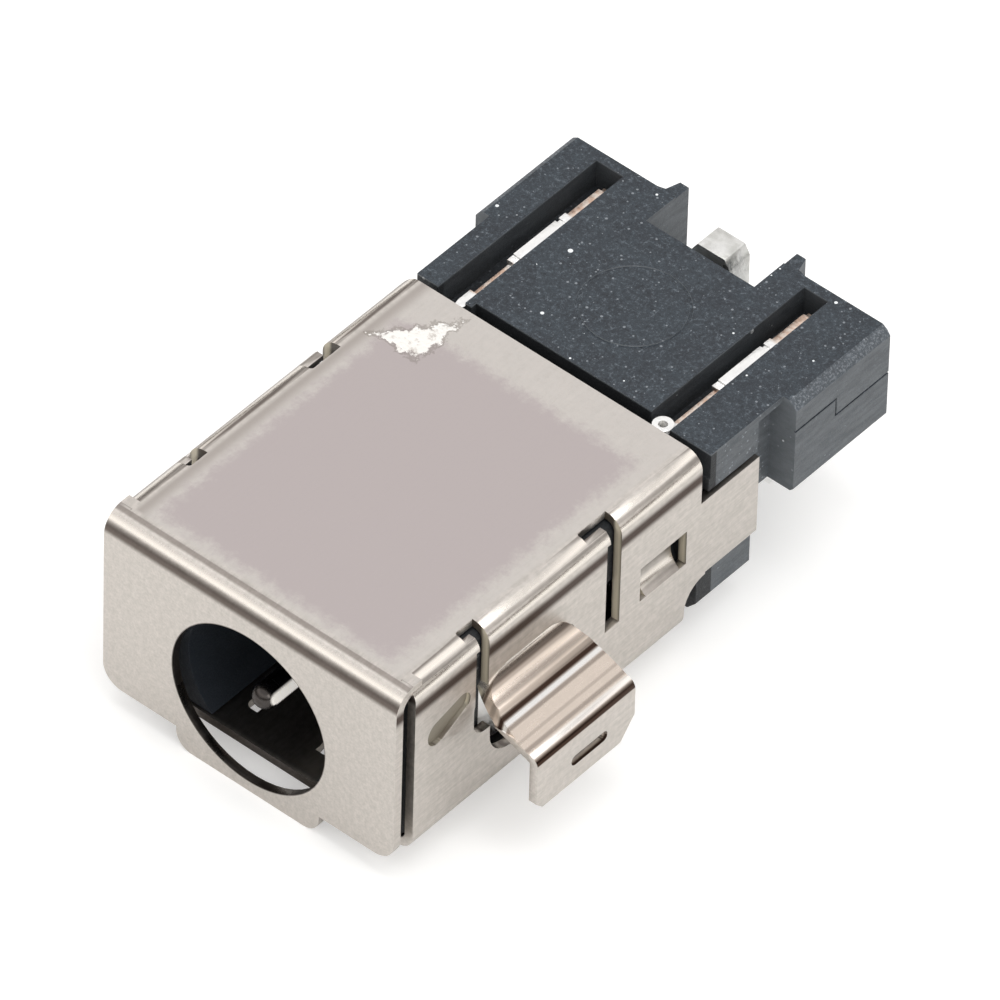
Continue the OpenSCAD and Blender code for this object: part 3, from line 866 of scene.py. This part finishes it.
def pin_material():
    material, tree, shader = new_material("bright pin", roughness=0.24, metallic=1.0)
    rings = noise(tree, millimetres(tree, (1.0, 12.0, 1.0)), scale=1.5, detail=2.0, roughness=0.5)
    colour = blend_colour(tree, ramp(tree, rings, 0.35, 0.65), PIN["turned"], PIN["bright"])
    streak = pin_streak(tree)
    # everywhere but the streak is painted dark, as the reflection of the black bore
    dull = math_node(tree, "SUBTRACT", 1.0, streak)
    colour = blend_colour(tree, product(tree, dull, BORE_DARKENS), colour, PIN["dark"])
    tree.links.new(colour, shader.inputs["Base Color"])
    metallic = math_node(tree, "MULTIPLY_ADD", streak, STREAK_METALLIC - 1.0, 1.0)
    tree.links.new(metallic, shader.inputs["Metallic"])
    # the painted highlight also glows a little
    glow = blend_colour(tree, streak, (0.0, 0.0, 0.0), STREAK_GLOW)
    tree.links.new(glow, shader.inputs["Emission Color"])
    shader.inputs["Emission Strength"].default_value = 1.0
    tree.links.new(ramp(tree, rings, 0.3, 0.7, 0.2, 0.28), shader.inputs["Roughness"])
    add_bump(tree, shader, rings, strength=0.2, distance_mm=0.004)
    return material


dress(nodes["center_pin"], pin_material())
print("dressed the pin")


# %% [markdown]
# ## Contacts and tail
# The contacts are stamped copper alloy. Copper shows along the strips on the deck, and white tin
# covers the raised middle of each, its front end, and the tail that goes into the board.
# The centre tail is tinned all over, with a few dark pits.

# %% Contact material
CONTACT = tints(
    copper=(222, 188, 166), pale_copper=(242, 228, 216), tin=(250, 250, 249), fold=(246, 243, 238),
)
TINNED_MIDDLE = ((13.5, 13.7), (15.65, 15.85))
TINNED_FRONT = (12.2, 12.1)
TINNED_BELOW = (2.2, 2.0)
TIN_WANDERS = 0.5
FOLD_STRENGTH = 0.6


def tin_mask(tree, coat, place):
    # the coat's unevenness shifts the edge of the tin by up to TIN_WANDERS mm
    wetted = math_node(tree, "MULTIPLY_ADD", coat, TIN_WANDERS, place[1])
    return strongest(tree, [
        product(tree, *soft_steps(tree, wetted, *TINNED_MIDDLE)),
        ramp(tree, wetted, *TINNED_FRONT),
        ramp(tree, place[2], *TINNED_BELOW),
    ])


def contact_material():
    material, tree, shader = new_material("tinned contact", roughness=0.34, metallic=1.0)
    place = split(tree, millimetres(tree))
    coat = noise(tree, millimetres(tree), scale=4.0, detail=5.0, roughness=0.6)
    lumps = noise(tree, millimetres(tree), scale=9.0, detail=4.0, roughness=0.6)
    folds = place_group(tree, fold_polish, Sharpness=0.3)
    pale = ramp(tree, coat, 0.4, 0.62)
    colour = blend_colour(tree, pale, CONTACT["copper"], CONTACT["pale_copper"])
    colour = blend_colour(tree, tin_mask(tree, coat, place), colour, CONTACT["tin"])
    # painted highlight along the folds of the contact
    fold = product(tree, folds.outputs["Fold"], FOLD_STRENGTH)
    colour = blend_colour(tree, fold, colour, CONTACT["fold"])
    tree.links.new(colour, shader.inputs["Base Color"])
    tree.links.new(ramp(tree, lumps, 0.3, 0.7, 0.28, 0.44), shader.inputs["Roughness"])
    add_bump(tree, shader, lumps, strength=0.5, distance_mm=0.025)
    return material


contact_finish = contact_material()
for name in ("left_contact", "right_contact"):
    dress(nodes[name], contact_finish)
print("dressed both contacts")


# %% Tail material
TAIL = tints(grey_tin=(208, 208, 204), tin=(232, 232, 230), pit=(120, 116, 108))
PIT_STRENGTH = 0.6


def tail_material():
    material, tree, shader = new_material("tinned tail", roughness=0.36, metallic=1.0)
    coat = noise(tree, millimetres(tree), scale=2.6, detail=5.0, roughness=0.6)
    lumps = noise(tree, millimetres(tree), scale=8.0, detail=4.0, roughness=0.6)
    pits = place_group(tree, fibre_glints, Cells_per_mm=3.4, Share=0.3, Size=0.34)
    colour = blend_colour(tree, ramp(tree, coat, 0.35, 0.65), TAIL["grey_tin"], TAIL["tin"])
    pit = product(tree, pits.outputs["Glint"], PIT_STRENGTH)
    colour = blend_colour(tree, pit, colour, TAIL["pit"])
    tree.links.new(colour, shader.inputs["Base Color"])
    tree.links.new(ramp(tree, lumps, 0.3, 0.7, 0.3, 0.46), shader.inputs["Roughness"])
    add_bump(tree, shader, lumps, strength=0.6, distance_mm=0.03)
    return material


dress(nodes["pin_terminal"], tail_material())
print("dressed the tail")


# %% [markdown]
# ## Studio
# The jack lies on a plain white sheet. The sheet glows a little for the camera and for
# reflections, so it reads as white without more light on the jack, and it keeps the shadow.
# Metal looks like metal only when it has something to mirror: the surround is bright overhead
# and falls off to a dark band near the horizon, which draws the dark line along each fold.

# %% White sheet
SHEET_HALF = 0.6
SHEET_GLOW = {"Is Camera Ray": 0.34, "Is Glossy Ray": 0.12}


def sheet_material():
    material, tree, shader = new_material("white sheet", roughness=0.9, metallic=0.0)
    shader.inputs["Base Color"].default_value = (0.8, 0.8, 0.79, 1.0)
    shader.inputs["Specular IOR Level"].default_value = 0.0
    shader.inputs["Emission Color"].default_value = (1.0, 1.0, 1.0, 1.0)
    rays = tree.nodes.new("ShaderNodeLightPath")
    glows = [math_node(tree, "MULTIPLY", rays.outputs[ray], level) for ray, level in SHEET_GLOW.items()]
    tree.links.new(math_node(tree, "ADD", *glows), shader.inputs["Emission Strength"])
    return material


def studio_sheet():
    corners = [(SHEET_HALF * x, SHEET_HALF * y, 0) for x, y in ((-1, -1), (1, -1), (1, 1), (-1, 1))]
    mesh = bpy.data.meshes.new("studio_sheet")
    mesh.from_pydata(corners, [], [(0, 1, 2, 3)])
    mesh.materials.append(sheet_material())
    sheet = bpy.data.objects.new("studio_sheet", mesh)
    bpy.context.scene.collection.objects.link(sheet)
    sheet.location.z = cad_low.z
    return sheet


sheet = studio_sheet()
print("sheet lies at z =", round(sheet.location.z / MM, 2), "mm")


# %% Surround
# Each stop is (height, colour), where 0 is straight down, 0.5 the horizon and 1 straight up.
SURROUND = [
    (0.00, (0.10, 0.085, 0.075)),
    (0.50, (0.10, 0.085, 0.075)),
    (0.57, (0.14, 0.12, 0.105)),
    (0.66, (0.80, 0.79, 0.78)),
    (0.75, (1.35, 1.33, 1.31)),
    (0.81, (1.15, 1.13, 1.12)),
    (0.86, (0.74, 0.73, 0.73)),
    (1.00, (0.90, 0.89, 0.89)),
]


def surround():
    world = bpy.data.worlds.new("surround")
    bpy.context.scene.world = world
    world.use_nodes = True
    tree = world.node_tree
    back = tree.nodes["Background"]
    up = split(tree, tree.nodes.new("ShaderNodeTexCoord").outputs["Generated"])[2]
    sky = tree.nodes.new("ShaderNodeValToRGB")
    sky.color_ramp.interpolation = "EASE"
    while len(sky.color_ramp.elements) < len(SURROUND):
        sky.color_ramp.elements.new(0.5)
    for stop, (place, colour) in zip(sky.color_ramp.elements, SURROUND):
        stop.position = place
        stop.color = (*colour, 1.0)
    tree.links.new(math_node(tree, "MULTIPLY_ADD", up, 0.5, 0.5), sky.inputs[0])
    rays = tree.nodes.new("ShaderNodeLightPath")
    shown = blend_colour(tree, rays.outputs["Is Camera Ray"], sky.outputs["Color"], (1.0, 1.0, 1.0))
    tree.links.new(shown, back.inputs["Color"])
    back.inputs["Strength"].default_value = 1.0


surround()
print("surround with", len(SURROUND), "stops")


# %% Lamps
SOFTBOXES = {
    "long softbox": {"place": (0.05, 0.02, 0.42), "size": (0.12, 0.5), "watts": 0.55},
    "side softbox": {"place": (0.34, -0.12, 0.24), "size": (0.2, 0.2), "watts": 0.25},
}


def softbox(name, aim, place, size, watts):
    light = bpy.data.lights.new(name, "AREA")
    light.shape = "RECTANGLE"
    light.size = size[0]
    light.size_y = size[1]
    light.energy = watts
    lamp = bpy.data.objects.new(name, light)
    bpy.context.scene.collection.objects.link(lamp)
    lamp.location = place
    lamp.rotation_euler = (Vector(aim) - Vector(place)).to_track_quat("-Z", "Y").to_euler()


centre = (cad_low + cad_high) / 2
for name, settings in SOFTBOXES.items():
    softbox(name, centre, **settings)
print("softboxes:", ", ".join(SOFTBOXES))


# %% [markdown]
# ## Camera
# The camera stands far off with a long lens, in front, to the right and above, so that parallel
# edges stay parallel. It looks at the middle of the jack.

# %% Camera
CAMERA = {"azimuth": 39.5, "elevation": 45.1, "roll": -1.7, "distance": 0.42, "frame_width": 23.9 * MM}


def place_camera():
    turn = math.radians(CAMERA["azimuth"])
    lift = math.radians(CAMERA["elevation"])
    back = Vector((math.sin(turn) * math.cos(lift), -math.cos(turn) * math.cos(lift), math.sin(lift)))
    right = Vector((math.cos(turn), math.sin(turn), 0.0))
    up = back.cross(right)
    roll = math.radians(CAMERA["roll"])
    tilted_right = right * math.cos(roll) - up * math.sin(roll)
    tilted_up = back.cross(tilted_right)
    data = bpy.data.cameras.new("camera")
    data.sensor_width = 36.0
    data.lens = data.sensor_width * CAMERA["distance"] / CAMERA["frame_width"]
    data.clip_start = 0.01
    camera = bpy.data.objects.new("camera", data)
    bpy.context.scene.collection.objects.link(camera)
    axes = Matrix((tilted_right, tilted_up, back)).transposed()
    camera.matrix_world = Matrix.Translation(centre + back * CAMERA["distance"]) @ axes.to_4x4()
    bpy.context.scene.camera = camera
    return camera


camera = place_camera()
bpy.context.scene.view_settings.view_transform = "Standard"
print("lens in mm:", round(camera.data.lens))
